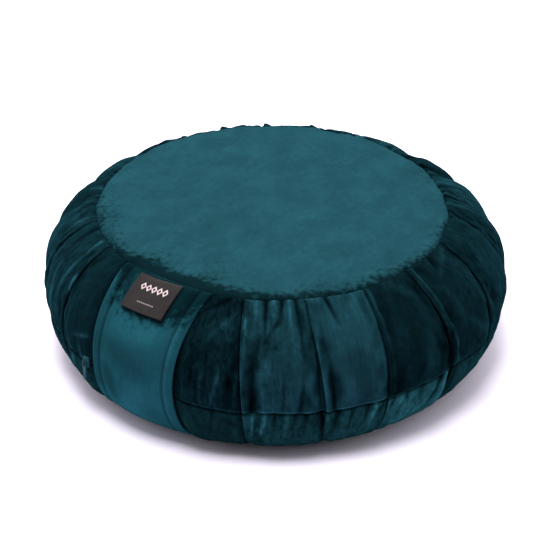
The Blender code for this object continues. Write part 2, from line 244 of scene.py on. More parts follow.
CREASES_LOWER = (
    # turn, mm down, to turn, to mm, half width, depth, painted shade and sheen
    (31.4, 90, 31.0, 114, 1.2, -0.9, 1.7),
    (34.4, 91, 32.6, 118, 1.4, -1.1, 1.9),
    (43.9, 89, 43.0, 106, 3.2, 1.8, 0.35),
    (36.6, 90, 35.8, 110, 1.5, 1.0, 0.55),
    (39.6, 90, 38.6, 114, 1.6, -0.8, 1.4),
    (41.3, 90, 40.6, 108, 1.3, 0.9, 0.6),
    (47.8, 90, 47.4, 118, 2.4, 1.6, 0.45),
    (51.4, 90, 50.3, 110, 2.8, 2.0, 0.32),
    (54.8, 91, 53.7, 114, 1.6, 1.3, 0.45),
    (58.8, 89, 57.9, 107, 2.4, 1.8, 0.35),
    (60.6, 90, 59.4, 110, 1.5, -0.9, 1.5),
    (62.6, 90, 61.2, 110, 1.4, 1.1, 0.55),
    (65.6, 89, 64.0, 108, 1.5, 1.1, 0.6),
    (67.8, 90, 66.0, 111, 1.4, -0.9, 1.4),
    (69.6, 89, 67.6, 107, 1.5, 1.1, 0.6),
    (74.0, 90, 71.6, 110, 1.5, 0.9, 0.7),
    (80.0, 88, 76.2, 122, 3.8, 2.6, 0.2),
    (81.4, 90, 81.0, 116, 1.1, -0.9, 2.0),
    (84.6, 88, 84.2, 114, 4.2, 1.6, 0.5),
    (22.0, 90, 21.0, 112, 1.6, 0.9, 0.7),
    (-21.5, 94, -19.8, 116, 1.8, -0.8, 1.6),
    (-25.0, 94, -23.5, 112, 1.6, 1.0, 0.6),
)

# Creases are painted darker in their hollows and lighter on their ridges, and the side's wrinkles
# darker in their hollows and lighter on their crests: painted shade and sheen.
CREASE_CONTRAST = 2.0  # the power that a crease's nap is raised to
CREASE_DEPTH = 0.6  # the share of its depth that is kept
WRINKLE_SHADE_AND_SHEEN = 0.5  # how much lighter a wrinkle is, per mm of its height

# Small creases drawn at random out of the camera's sight, above and below the zip seam.
GATHERS = ((11, 120), (12, 90))  # seed, count
GATHER_TURNS = (126, 306)  # degrees

# Uneven swelling all over the side.
SWELLS = ((34, 0.7, 1), (11, 0.3, 2))  # size and height in mm, seed

# Places where the filling has settled and the side is drawn in.
FAR_TURN = -144  # faces away from the camera
DRAWN_PLACES = (
    # turn, degrees to each side, mm down, mm above and below, depth in mm
    (-96, 42, 30, 30, 2.6),
    (FAR_TURN, 44, 11, 11, 1.8),
)
DRAWN_FOOT = (86, 24, 92, 28, 1.7)  # turn, degrees to each side, mm down, over mm, depth in mm
# How deep the side is drawn in at its folds, and let out between them, round the cushion.
DRAWN_FOLDS = (
    # turn, mm
    (-180, 2.6), (-60, 2.6), (-38, 0.6), (-30, 0.0), (66, 0.0), (84, 1.4),
    (100, 2.6), (180, 2.6),
)
DRAWN_DOWN = 30  # mm
DRAWN_LENGTH = 42  # mm above and below
DRAWN_REACH = 8.0  # mm to each side of a fold
LET_OUT = 0.35
LET_OUT_LENGTH = 26  # mm from the top seam, over which it comes in

# On the far side the cloth stands out more below the top seam, with a small tip at each fold.
FAR_SPREAD = 60  # degrees to each side
FAR_DOWN = 6  # mm
FAR_LENGTH = 7  # mm above and below
FAR_RAISED = 1.3  # how much further it stands out
FAR_FILLED = 0.9  # the share of the folds' depth that is lost
TIP_HEIGHT = 3.0 * MM
TIP_REACH = 5.0  # mm to each side of a fold
TIP_DOWN = 4.5  # mm
TIP_LENGTH = 4.0  # mm above and below

# How strongly the pile of the side is rubbed into flecks, above and below the zip seam.
RUBBED = (
    # turn, above, below
    (-180, 0.35, 0.35), (-60, 0.4, 0.4), (-32, 0.45, 0.4), (-24, 0.2, 0.35),
    (-12, 0.3, 0.35), (12, 0.5, 0.3), (26, 0.5, 0.35), (31, 0.38, 0.45),
    (44, 0.3, 0.45), (50, 0.14, 0.45), (62, 0.12, 0.45), (66, 0.22, 0.45),
    (84, 0.28, 0.45), (110, 0.4, 0.4), (180, 0.35, 0.35),
)

# The zip seam holds the cloth beside it nearer its smooth form.
ZIP_HELD = 0.5
ZIP_HELD_REACH = 7 * MM
ZIP_EDGE = 0.9 * MM
SEAM_WAVE_REACH = 14 * MM
# How far the zip seam wanders below its level line in front.
SEAM_WAVE = (
    # turn, mm down
    (-46, 1.0), (-30, 2.5), (-14, 2.5), (0, 0.0), (14, -1.5), (20, 0.8),
    (28, 2.2), (36, 0.5), (45, 1.6), (50, 2.0), (56, 0.6), (64, 0.6),
    (72, -1.4), (79, -1.8), (85, -4.0), (93, -1.5), (104, 0.0),
)


# ---- the side's smooth form


def bump(x, width):
    return np.exp(-((x / width) ** 2))


def bezier(a, b, c, d, t):
    u = 1 - t
    return a * u**3 + 3 * b * u * u * t + 3 * c * u * t * t + d * t**3


def smooth_profile(steps=400):
    """Radii and heights down the side, and the length from the top seam at each."""
    t = np.linspace(0, 1, steps)
    slope = math.radians(SHOULDER_SLOPE)
    leave_r = TOP_SEAM_RADIUS + SHOULDER_PULL * math.cos(slope)
    leave_z = TOP_SEAM_HEIGHT - SHOULDER_PULL * math.sin(slope)
    upper_r = bezier(TOP_SEAM_RADIUS, leave_r, WIDEST_RADIUS, WIDEST_RADIUS, t)
    upper_z = bezier(TOP_SEAM_HEIGHT, leave_z, WIDEST_HEIGHT + BELLY_PULL_UP, WIDEST_HEIGHT, t)
    lower_r = bezier(WIDEST_RADIUS, WIDEST_RADIUS, BASE_RADIUS + BASE_PULL, BASE_RADIUS, t)
    lower_z = bezier(WIDEST_HEIGHT, WIDEST_HEIGHT - BELLY_PULL_DOWN, 0, 0, t)
    r = np.concatenate([upper_r, lower_r[1:]])
    z = np.concatenate([upper_z, lower_z[1:]])
    down = np.concatenate([[0], np.cumsum(np.hypot(np.diff(r), np.diff(z)))])
    return r, z, down


PROFILE_R, PROFILE_Z, PROFILE_DOWN = smooth_profile()
NORMAL_R = -np.gradient(PROFILE_Z, PROFILE_DOWN)
NORMAL_Z = np.gradient(PROFILE_R, PROFILE_DOWN)
SIDE_LENGTH = PROFILE_DOWN[-1]
ZIP_DOWN = float(np.interp(-ZIP_SEAM_HEIGHT, -PROFILE_Z, PROFILE_DOWN))


def radius_at(down):
    return np.interp(down, PROFILE_DOWN, PROFILE_R)


def along(table, column, place):
    """A column of a table at this place, read along the table's first column."""
    return np.interp(place, [row[0] for row in table], [row[column] for row in table])


def by_column(table):
    return (np.array(column)[None, :] for column in zip(*table))


def turn_from(turn, middle=0):
    """How far a turn is from another one, in degrees, from -180 to 180."""
    return (turn - middle + 180) % 360 - 180


def wander(turn, seed, count=9):
    """A smooth uneven wave round the cushion, between about -1 and 1."""
    rng = np.random.default_rng(seed)
    angle = np.radians(turn)
    total = np.zeros_like(angle)
    for k in rng.integers(3, 26, count):
        total += rng.uniform(0.4, 1.0) * np.sin(k * angle + rng.uniform(0, 2 * math.pi))
    return total / math.sqrt(count)


def settled(points):
    """The same points once the filling has settled: the top leans, and its seam shifts and wanders."""
    x, y, z = points[..., 0], points[..., 1], points[..., 2]
    r = np.hypot(x, y)
    turn = np.degrees(np.arctan2(y, x)) + 90
    away = np.hypot(r - TOP_SEAM_RADIUS, z - TOP_SEAM_HEIGHT)
    near = bump(away, SEAM_WANDER_REACH)
    shift = TOP_SHIFT * bump(away, TOP_SHIFT_REACH)
    shift = shift * np.cos(np.radians(turn - TOP_SHIFT_TURN))
    swing = 1 + (SEAM_WANDER_IN * wander(turn, 5) * near + shift) / np.maximum(r, 0.01)
    share = np.clip(z / TOP_SEAM_HEIGHT, 0, 1) ** 2
    rise = (TOP_LEAN[0] * x + TOP_LEAN[1] * y) * share + SEAM_WANDER_UP * wander(turn, 6) * near
    return np.stack([x * swing, y * swing, z + rise - 0.35 * shift], axis=-1)


def on_side(turn, down, out):
    """Points of the side: arrays of turns, lengths down it and distances out from its smooth form."""
    r = radius_at(down) + np.interp(down, PROFILE_DOWN, NORMAL_R) * out
    z = np.interp(down, PROFILE_DOWN, PROFILE_Z) + np.interp(down, PROFILE_DOWN, NORMAL_Z) * out
    angle = np.radians(turn - 90)
    return settled(np.stack([r * np.cos(angle), r * np.sin(angle), z], axis=-1))


def handle_middle(down):
    return HANDLE_DRIFT * np.clip(1 - down / HANDLE_DRIFT_END, 0, 1)


def handle_proud(down):
    return HANDLE_PROUD * (1 - down / SIDE_LENGTH)


def handle_bed(down):
    """How far in the side lies under the handle."""
    return handle_proud(down) - HANDLE_CLOTH - 0.4 * MM


def crown(radius):
    """Height of the top panel at this radius, before its seam draws it in."""
    share = np.clip(radius / TOP_SEAM_RADIUS, 0, 1)
    return TOP_SEAM_HEIGHT + CROWN_RISE * (1 - share**CROWN_POWER)


def seam_wave(turn):
    """How far the zip seam has wandered down from its level line."""
    t = turn_from(turn)
    first, last = SEAM_WAVE[0][0], SEAM_WAVE[-1][0]
    front = np.clip(np.minimum(t - first, last - t) / 12, 0, 1)
    return (along(SEAM_WAVE, 1, t) * front + 1.3 * wander(turn, 8) * (1 - front)) * MM


# ---- meshes


def grid_mesh(name, points, ends):
    """A closed mesh over a grid of points, rows down and columns round, with an end point
    above its first row and one below its last."""
    rows, columns = points.shape[:2]
    left = np.arange(rows * columns).reshape(rows, columns)
    right = np.roll(left, -1, axis=1)
    faces = np.stack([left[:-1], left[1:], right[1:], right[:-1]], axis=-1).reshape(-1, 4).tolist()
    top, bottom = rows * columns, rows * columns + 1
    faces += [(top, a, b) for a, b in zip(left[0].tolist(), right[0].tolist())]
    faces += [(a, bottom, b) for a, b in zip(left[-1].tolist(), right[-1].tolist())]
    mesh = bpy.data.meshes.new(name)
    mesh.from_pydata(points.reshape(-1, 3).tolist() + [list(end) for end in ends], [], faces)
    mesh.shade_smooth()
    return mesh


def add_value(mesh, name, values):
    """A number for each point, for the materials to read."""
    flat = np.asarray(values, np.float32).reshape(-1)
    full = np.full(len(mesh.vertices), flat.mean(), np.float32)
    full[: len(flat)] = flat
    mesh.attributes.new(name, "FLOAT", "POINT").data.foreach_set("value", full)


def add_cloth_place(mesh, across, down):
    """Each point's place in the flat cloth, in millimetres, for the materials to read."""
    full = np.zeros((len(mesh.vertices), 3), np.float32)
    flat = np.stack([across, down, np.zeros_like(across)], axis=-1).reshape(-1, 3) / MM
    full[: len(flat)] = flat
    mesh.attributes.new("cloth", "FLOAT_VECTOR", "POINT").data.foreach_set("vector", full.reshape(-1))


def add_object(name, data):
    obj = bpy.data.objects.new(name, data)
    scene.collection.objects.link(obj)
    return obj


def add_piece(mesh, material):
    obj = add_object(mesh.name, mesh)
    mesh.materials.append(material)
    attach(obj, BODY)
    return obj


def lumps(points, size, seed):
    """Soft uneven noise between about -1 and 1 at each point, with lumps of this size in mm."""
    offset = Vector((seed * 7.3, seed * 3.1, seed * 5.7))
    values = [noise.noise(Vector(p) + offset) for p in (points.reshape(-1, 3) / (size * MM)).tolist()]
    return np.array(values).reshape(points.shape[:-1])


def seam_roll(distance, depth, reach):
    """How far cloth is drawn in at this distance from a seam: a round shoulder, its depth and
    reach in mm."""
    x = np.clip(1 - distance / (reach * MM), 0, 1)
    return depth * MM * (1 - np.sqrt(np.maximum(1 - x * x, 0)))


# ---- creases


def off_line(x, y, across, length):
    """How far off a straight line each place is, and its share of the way along the line."""
    share = np.clip((x * across + y * length) / (across**2 + length**2), 0, 1)
    return np.hypot(x - across * share, y - length * share), share


def crease(row, turn, down):
    """How much of a crease there is at each place, from 0 to 1: a soft line that narrows and
    fades towards its end."""
    start, from_mm, end, to_mm, width = row[:5]
    r = radius_at(down) / MM
    x = np.radians(turn_from(turn, start)) * r
    across = math.radians(end - start) * r
    off, share = off_line(x, down / MM - from_mm, across, to_mm - from_mm)
    sewn = min(abs(from_mm), abs(from_mm - ZIP_DOWN / MM)) < 5
    begin = 1 if sewn else np.clip(0.1 + 4 * share, 0, 1)
    return bump(off, width * (1 - 0.45 * share)) * (1 - 0.7 * share**2) * begin


def creased(table, turn, down):
    """Depth in metres of all the creases in a table, and the painted shade in their hollows and
    painted sheen along their ridges.
    """
    depth, nap = np.zeros_like(turn), np.ones_like(turn)
    for row in table:
        amount = crease(row, turn, down)
        depth += CREASE_DEPTH * row[5] * MM * amount
        nap *= 1 + (row[6] ** CREASE_CONTRAST - 1) * amount
    return depth, nap


def small_gathers(first, last, seed, count):
    """Creases at random where the far side is gathered into the seams of a band. First and
    last are in mm down."""
    rng = np.random.default_rng(seed)
    rows = []
    for _ in range(count):
        turn = rng.uniform(*GATHER_TURNS)
        lean = rng.uniform(-2.2, 2.2)
        length = rng.uniform(12, 36) * (last - first) / 88
        width = rng.uniform(1.4, 2.8)
        depth = rng.uniform(0.6, 2.4)
        # Painted shade in a hollow crease, painted sheen on a ridge.
        nap = rng.uniform(0.35, 0.8)
        if rng.random() < 0.35:
            depth, nap = -0.4 * depth, 2 - nap
        if rng.random() < 0.55:
            rows.append((turn, first, turn + lean, first + length, width, depth, nap))
        else:
            rows.append((turn, last, turn + lean, last - length, width, depth, nap))
    return rows


# ---- the filling's push on the cloth


class Filling:
    """How far the filling pushes the side's cloth out between its seams and folds, found by a
    cloth simulation on a coarse grid. The cloth is held along its seams and folds and is a
    little too long, most of all beside the seams, so that it puffs and gathers."""

    COLUMNS = 360
    ROWS = 44
    SUNK = 1.0 * MM
    FOLD_SUNK = 4.0 * MM
    FOLD_REACH = 3.0  # mm
    FOLD_HELD = 0.75  # nearness to a fold
    HANDLE_HELD = 12.5  # degrees
    FRAMES = 20
    MOST = 4.5 * MM
    SMOOTHED = 6  # times, which leaves the broad swelling
    SHARE = 0.45  # of the broad swelling that is kept

    def __init__(self, simulated):
        self.turn = np.arange(self.COLUMNS) * 360 / self.COLUMNS
        self.down = np.linspace(0, SIDE_LENGTH, self.ROWS)
        push = np.zeros((self.ROWS, self.COLUMNS))
        if simulated:
            push = np.clip(self.simulate(), -self.MOST, self.MOST)
        smooth = push
        for _ in range(self.SMOOTHED):
            smooth = (np.roll(smooth, 1, 1) + smooth + np.roll(smooth, -1, 1)) / 3
        wrinkle = push - smooth
        self.found = np.stack([self.SHARE * smooth + wrinkle, wrinkle])

    def simulate(self):
        """How far out each point of the grid is pushed."""
        turn, down = np.meshgrid(self.turn, self.down)
        near = near_folds(turn, down, self.FOLD_REACH)
        start = -self.SUNK - self.FOLD_SUNK * near * along(PLEAT_FADE, 1, down / MM)
        before = on_side(turn, down, start)
        mesh = grid_mesh("side_cloth", before, ((0, 0, TOP_SEAM_HEIGHT), (0, 0, MM)))
        obj = add_object("side_cloth", mesh)
        seam = np.argmin(np.abs(self.down - ZIP_DOWN))
        held = (near > self.FOLD_HELD) | (np.abs(turn_from(turn)) < self.HANDLE_HELD)
        held[[0, seam, -2, -1]] = True
        ends = [held.size, held.size + 1]
        obj.vertex_groups.new(name="held").add(np.flatnonzero(held).tolist() + ends, 1, "REPLACE")
        near_zip = bump(down - ZIP_DOWN, 12 * MM)
        near_base = np.exp((down - SIDE_LENGTH) / (14 * MM))
        loose = np.exp(-down / (16 * MM)) + 0.7 * near_zip + 0.6 * near_base
        group = obj.vertex_groups.new(name="loose")
        for i, weight in enumerate(np.clip(loose, 0, 1).reshape(-1).tolist()):
            group.add([i], weight, "REPLACE")
        settings = obj.modifiers.new("cloth", "CLOTH").settings
        settings.quality = 5
        settings.mass = 0.0003
        settings.bending_stiffness = 0.3
        settings.use_pressure = True
        settings.uniform_pressure_force = 20
        settings.vertex_group_mass = "held"
        settings.vertex_group_shrink = "loose"
        settings.shrink_min = -0.05
        settings.shrink_max = -0.15
        settings.effector_weights.gravity = 0
        for step in range(1, self.FRAMES + 1):
            scene.frame_set(step)
        solved = obj.evaluated_get(bpy.context.evaluated_depsgraph_get()).to_mesh()
        after = np.empty(len(solved.vertices) * 3, np.float32)
        solved.vertices.foreach_get("co", after)
        after = after.reshape(-1, 3)[: held.size].reshape(before.shape)
        bpy.data.objects.remove(obj)
        bpy.data.meshes.remove(mesh)
        scene.frame_set(1)
        outward = (on_side(turn, down, MM) - on_side(turn, down, 0)) / MM
        return ((after - before) * outward).sum(axis=-1)

    def at(self, turn, down):
        """The push and the wrinkles at each place, smoothly between the grid's points."""
        u = (turn % 360) / 360 * self.COLUMNS
        v = down / SIDE_LENGTH * (self.ROWS - 1)
        i, j = np.floor(u).astype(int), np.floor(v).astype(int)
        total = np.zeros((2, *u.shape))
        for a, across in zip(range(-1, 3), cubic(u - i)):
            for b, along_down in zip(range(-1, 3), cubic(v - j)):
                row = np.clip(j + b, 0, self.ROWS - 1)
                total += across * along_down * self.found[:, row, (i + a) % self.COLUMNS]
        return total


# ---- the pleated side


def cubic(t):
    """The four weights of a cubic B-spline at this share of the way along a stretch."""
    before, after = (1 - t) ** 3 / 6, t**3 / 6
    return before, (3 * t**3 - 6 * t * t + 4) / 6, (3 * t * t + 3 * t - 3 * t**3 + 1) / 6, after


def spline_weights(samples):
    """How much each control point weighs at each sample along a cubic B-spline that starts at
    the first point and ends at the last. Samples has a count for each stretch between two."""
    count = len(samples) + 1
    order = [0, 0, *range(count), count - 1, count - 1]
    rows = []
    for stretch in range(len(order) - 3):
        n = samples[min(max(stretch - 1, 0), count - 2)]
        for i in range(n):
            row = np.zeros(count)
            for k, weight in zip(order[stretch : stretch + 4], cubic(i / n)):
                row[k] += weight
            rows.append(row)
    last = np.zeros(count)
    last[-1] = 1
    rows.append(last)
    return np.array(rows)


def fold_turn(pleat, down):
    return pleat[0] + (pleat[1] - pleat[0]) * down / SIDE_LENGTH


def near_folds(turn, down, reach):
    """How near each place is to a fold, from 0 to 1, with its reach in mm."""
    near = np.zeros_like(turn)
    for sign, pleats in ((1, PLEATS_RIGHT), (-1, PLEATS_LEFT)):
        for pleat in pleats:
            away = turn_from(turn, sign * fold_turn(pleat, down))
            near = np.maximum(near, bump(np.radians(away) * radius_at(down) / MM, reach))
    return near


def fold_shape(table, pleat, down, side):
    """One side of a pleat's fold in each row: turns away from the handle, mm of lift, and the pile
    with painted shade inside the fold and a painted sheen along its edge. The fold gapes low down,
    its edge to one side and the tucked cloth to the other."""
    _, _, depth, gape, hollow, *_ = pleat
    fade = along(PLEAT_FADE, 1, down / MM)[:, None]
    low = along(GAPE_SHARE, 1, down / MM)[:, None]
    across, lift, nap = by_column(table)
    near = np.exp(-np.abs(across) / 7)
    dip = bump(across - HOLLOW_PLACE, HOLLOW_WIDTH) * HOLLOW_DEPTH * hollow * (side > 0)
    lift = (lift - dip * low) * depth * fade
    across = across * (0.45 + 0.55 * fade) + side * gape * low * near
    turn = fold_turn(pleat, down)[:, None] + np.degrees(across * MM / radius_at(down)[:, None])
    return turn, lift, np.broadcast_to(nap, lift.shape)


def from_handle(down, sign):
    """The cloth that comes out from under the handle's edge, as turns, mm of lift, and the pile
    with painted shade beside the handle's edge.
    """
    r = radius_at(down)[:, None]
    edge = np.degrees(HANDLE_WIDTH / 2 / r) + sign * handle_middle(down)[:, None]
    across, bed, rise, nap = by_column(HANDLE_SIDE)
    lift = handle_bed(down)[:, None] / MM * bed + rise
    return edge + np.degrees(across * MM / r), lift, np.broadcast_to(nap, lift.shape)


def panel(down, start, end, sign):
    """One panel of cloth, from the fold or handle edge at its start to the fold at its end.
    No end is the middle of the back, where a right pleat meets the last left one."""
    begin = from_handle(down, sign) if start is None else fold_shape(FOLD_ROLL, start, down, 1)
    if end is None:
        turn, lift, nap = fold_shape(FOLD_ROLL, PLEATS_LEFT[-1], down, 1)
        finish = (360 - turn[:, ::-1], lift[:, ::-1], nap[:, ::-1])
    else:
        finish = fold_shape(FOLD_TUCK, end, down, -1)
    gap = finish[0][:, :1] - begin[0][:, -1:]
    middle_turn = begin[0][:, -1:] + gap * np.array([0.3, 0.7])
    puff = 0.7 * along(PLEAT_FADE, 1, down / MM)[:, None] * np.ones((1, 2))
    middle = (middle_turn, puff, np.ones_like(puff))
    turn, lift, nap = (np.concatenate(parts, axis=1) for parts in zip(begin, middle, finish))
    widest = np.argmax(radius_at(down))
    steps = np.abs(np.diff(turn[widest])) * math.radians(1) * WIDEST_RADIUS / COLUMN_SPACING
    weights = spline_weights([max(2, round(step)) for step in steps]).T
    return sign * (turn @ weights), lift @ weights * MM, nap @ weights


def pleated(down, band):
    """Turns, lifts, and pile with its painted shade and sheen, all round the side for these rows.
    Band is 0 above the zip seam and 1 below it."""
    parts = []

    def take(start, end, sign, plain):
        turn, lift, nap = panel(down, start, end, sign)
        nap = nap * (plain[band] if start is None else start[5 + band])
        if sign < 0:
            turn, lift, nap = turn[:, ::-1] + 360, lift[:, ::-1], nap[:, ::-1]
        parts.append((turn[:, :-1], lift[:, :-1], nap[:, :-1]))

    for start, end in zip((None, *PLEATS_RIGHT), (*PLEATS_RIGHT, None)):
        take(start, end, 1, PLAIN_NAP_RIGHT)
    for start, end in reversed(list(zip((None, *PLEATS_LEFT), PLEATS_LEFT))):
        take(start, end, -1, PLAIN_NAP_LEFT)
    last = parts[-1][0][:, -1:] - 360
    under = last + (parts[0][0][:, :1] - last) * np.linspace(0, 1, 26)[:-1]
    bed = np.broadcast_to(handle_bed(down)[:, None], under.shape)
    # The cloth under the handle, painted in shade.
    parts.insert(0, (under, bed, np.full(under.shape, 0.4)))
    return (np.concatenate(values, axis=1) for values in zip(*parts))


def side_rows(first, last):
    """Lengths down the side for a band's rows, closer together at its two seams."""
    seam = np.array([0, 0.3, 0.7, 1.2, 1.8, 2.5, 3.3]) * MM
    start, stop = first + seam[-1] + ROW_SPACING, last - seam[-1] - ROW_SPACING
    inner = np.linspace(start, stop, round((stop - start) / ROW_SPACING))
    return np.concatenate([first + seam, inner, (last - seam)[::-1]])


def stand_up(turn, down, lift):
    """The pleats' lift, with the tips that stand up on the far side."""
    mm = down / MM
    far = bump(turn_from(turn, FAR_TURN), FAR_SPREAD) * bump(mm - FAR_DOWN, FAR_LENGTH)
    tip = TIP_HEIGHT * near_folds(turn, down, TIP_REACH) * bump(mm - TIP_DOWN, TIP_LENGTH)
    raised = np.maximum(lift, 0) * (1 + FAR_RAISED * far)
    return raised + np.minimum(lift, 0) * (1 - FAR_FILLED * far) + tip * far


def drawn_in(turn, down):
    """How far the side is drawn in, broadly and at its folds."""
    mm = down / MM
    middle, spread, start, length, depth = DRAWN_FOOT
    drawn = depth * bump(turn_from(turn, middle), spread) * np.clip((mm - start) / length, 0, 1)
    for middle, spread, height, reach, depth in DRAWN_PLACES:
        drawn = drawn + depth * bump(turn_from(turn, middle), spread) * bump(mm - height, reach)
    shoulder = bump(mm - DRAWN_DOWN, DRAWN_LENGTH) * np.clip(mm / 5, 0.3, 1)
    let_out = LET_OUT * np.clip(mm / LET_OUT_LENGTH, 0, 1) ** 2
    folds = near_folds(turn, down, DRAWN_REACH) - let_out
    return MM * (drawn + along(DRAWN_FOLDS, 1, turn_from(turn)) * folds * shoulder)


def make_band(name, band, ends, material, filling):
    """One band of the side, from one seam to the next, closed above and below."""
    first, last = ((0.0, ZIP_DOWN), (ZIP_DOWN, SIDE_LENGTH))[band]
    row = side_rows(first, last)
    turn, lift, nap = pleated(row, band)
    down = np.broadcast_to(row[:, None], turn.shape)
    table = (CREASES_UPPER, CREASES_LOWER)[band]
    gathers = small_gathers(first / MM, last / MM, *GATHERS[band])
    crease_depth, crease_shade_and_sheen = creased([*table, *gathers], turn, down)
    clear = np.clip((np.abs(turn_from(turn)) - HANDLE_CLEAR) / HANDLE_FADE, 0, 1)
    lift = stand_up(turn, down, lift)
    smooth = on_side(turn, down, lift)
    swell = sum(height * MM * lumps(smooth, size, seed) for size, height, seed in SWELLS)
    drawn = drawn_in(turn, down)
    puff, wrinkle = filling.at(turn, down)
    from_zip = np.abs(down - ZIP_DOWN)
    held = 1 - ZIP_HELD * bump(from_zip, ZIP_HELD_REACH)
    out = lift * (1 - clear + clear * held) + clear * (swell + puff - crease_depth * held - drawn)
    if band == 0:
        out = out - seam_roll(down, *SIDE_TOP_ROLL)
    out = out - seam_roll(from_zip, *SIDE_ZIP_ROLL)
    points = on_side(turn, down + seam_wave(turn) * bump(from_zip, SEAM_WAVE_REACH), out)
    points[..., 2] = np.maximum(points[..., 2], 0.2 * MM)
    mesh = grid_mesh(name, points, ends)
    nap = nap * crease_shade_and_sheen * (1 + 0.25 * lumps(smooth, 22, 9))
    # Wrinkles painted lighter on their crests and darker in their hollows: painted sheen and shade.
    nap = nap * np.clip(1 + clear * WRINKLE_SHADE_AND_SHEEN * wrinkle / MM, 0.45, 1.5)
    # A painted highlight along the upper band's lower edge at the zip seam, and painted shade along
    # the top of the lower band.
    edge = bump(from_zip - ZIP_EDGE, ZIP_EDGE)
    if band == 0:
        nap = nap * (1 + (1.1 + 0.5 * wander(turn, 14)) * edge) + 0.25 * edge
    else:
        nap = nap * (1 - 0.55 * edge)
    add_value(mesh, "nap", np.clip(nap, 0.08, 3.5))
    add_value(mesh, "rub", along(RUBBED, 1 + band, turn_from(turn)))
    add_cloth_place(mesh, np.radians(turn) * WIDEST_RADIUS, down)
    return add_piece(mesh, material)


# ---- panels, handle and tab

# How wide the crushed band inside the top seam is, round the front.
TOP_CRUSH = (
    # turn, mm wide, how crushed
    (-180, 2, 0.3), (-80, 2, 0.15), (-58, 6, 0.16), (-45, 9, 0.3), (-28, 9, 0.6),
    (-18, 8, 0.95), (-8, 12, 1.15), (12, 12, 1.1), (20, 9, 0.85), (30, 7, 0.65),
    (45, 6, 0.6), (70, 7, 0.6), (105, 6, 0.5), (120, 3, 0.35), (180, 2, 0.3),
)


def make_top(material):
    """The crowned top panel: a sheet that rolls down into its seam all round."""
    seam = np.array([4.4, 3.6, 2.9, 2.2, 1.6, 1.1, 0.7, 0.35, 0]) * MM
    radii = np.concatenate([np.linspace(2 * MM, TOP_RIM - 5.2 * MM, 92), TOP_RIM - seam])[:, None]
    turn = np.linspace(0, 360, 420, endpoint=False)[None, :]
    angle = np.radians(turn - 90)
    inset = TOP_RIM - radii
    z = crown(radii) - seam_roll(inset, *PANEL_ROLL)
    flat = np.stack([radii * np.cos(angle), radii * np.sin(angle), z + 0 * turn], axis=-1)
    pucker = 0.5 * MM * wander(turn * 3, 21, 12) * np.exp(-inset / (7 * MM))
    rough = 0.6 * MM * lumps(flat, 45, 3) + 0.14 * MM * lumps(flat, 8, 4)
    flat[..., 2] += pucker + rough * np.clip(inset / (12 * MM), 0.15, 1)
    top = settled(flat)
    under = top[::-6].copy()
    under[..., 2] -= TOP_CLOTH
    centre = TOP_SEAM_HEIGHT + CROWN_RISE + 0.2 * MM
    ends = ((0, 0, centre), (0, 0, centre - TOP_CLOTH))
    mesh = grid_mesh("velvet_top", np.concatenate([top, under]), ends)
    x, y = flat[..., 0], flat[..., 1]
    add_cloth_place(mesh, np.concatenate([x, x[::-6]]), np.concatenate([y, y[::-6]]))
    width = along(TOP_CRUSH, 1, turn_from(turn)) * MM
    share = along(TOP_CRUSH, 2, turn_from(turn))
    cluster = 0.3 + 0.7 * np.clip(0.5 + 1.6 * lumps(flat, 26, 23), 0, 1)
    crush = share * bump(inset, width) + 0.46 * cluster * np.exp(-inset / (3.4 * width))
    add_value(mesh, "crush", np.concatenate([crush, crush[::-6]]))
    add_value(mesh, "nap", np.ones(len(mesh.vertices)))
    return add_piece(mesh, material)


def make_base(material):
    """The flat base panel, on the floor inside the side's lowest ring."""
    radii = np.linspace(0.004, BASE_RIM, 40)[:, None]
    angle = np.radians(np.linspace(0, 360, 180, endpoint=False))[None, :]
    x, y = radii * np.cos(angle), radii * np.sin(angle)
    over = np.stack([x, y, np.full_like(x, BASE_CLOTH)], axis=-1)
    under = np.stack([x, y, np.full_like(x, 0.0)], axis=-1)
    sunk = 0.35 * MM * np.clip(1 - (BASE_RIM - radii) / (6 * MM), 0, 1)
    under[..., 2] += sunk + 0.1 * MM * (1 + lumps(under, 30, 31)) * np.clip(radii / 0.02, 0, 1)
    grid = np.concatenate([over, under[::-1]])
    mesh = grid_mesh("velvet_base", grid, ((0, 0, BASE_CLOTH), (0, 0, 0.1 * MM)))
    add_cloth_place(mesh, grid[..., 0], grid[..., 1])
    add_value(mesh, "nap", 0.9 + 0.2 * lumps(grid, 40, 32))
    add_value(mesh, "rub", 0.3 + 0 * grid[..., 0])
    return add_piece(mesh, material)


def handle_points(across, down, out):
    turn = handle_middle(down) + np.degrees(across / radius_at(down))
    return on_side(turn, down, handle_proud(down) + out)


# Creases and rubbed places on the handle, given across it from its middle. Their last column
# paints shade in a crease, sheen on a ridge and a darker tone where it is rubbed.
HANDLE_MARKS = (
    # mm across, mm down, to mm across, to mm down, half width, depth, tone with painted shade and
    # sheen
    (-20, 6, -17, 26, 2.2, -0.5, 1.8),
    (-31, 4, -29, 34, 3.0, 0.3, 0.6),
    (26, 6, 27, 30, 4.0, 0.4, 0.6),
    (14, 44, -12, 52, 9.0, -0.3, 1.25),
    (6, 76, -14, 66, 12.0, 0.3, 0.7),
    (-20, 84, -17, 108, 6.0, 0.5, 0.62),
    (8, 98, -6, 116, 10.0, -0.3, 1.35),
    (30, 20, 31, 60, 2.6, -0.3, 1.3),
    (-32, 34, -31, 100, 8.0, 0.0, 0.74),
)


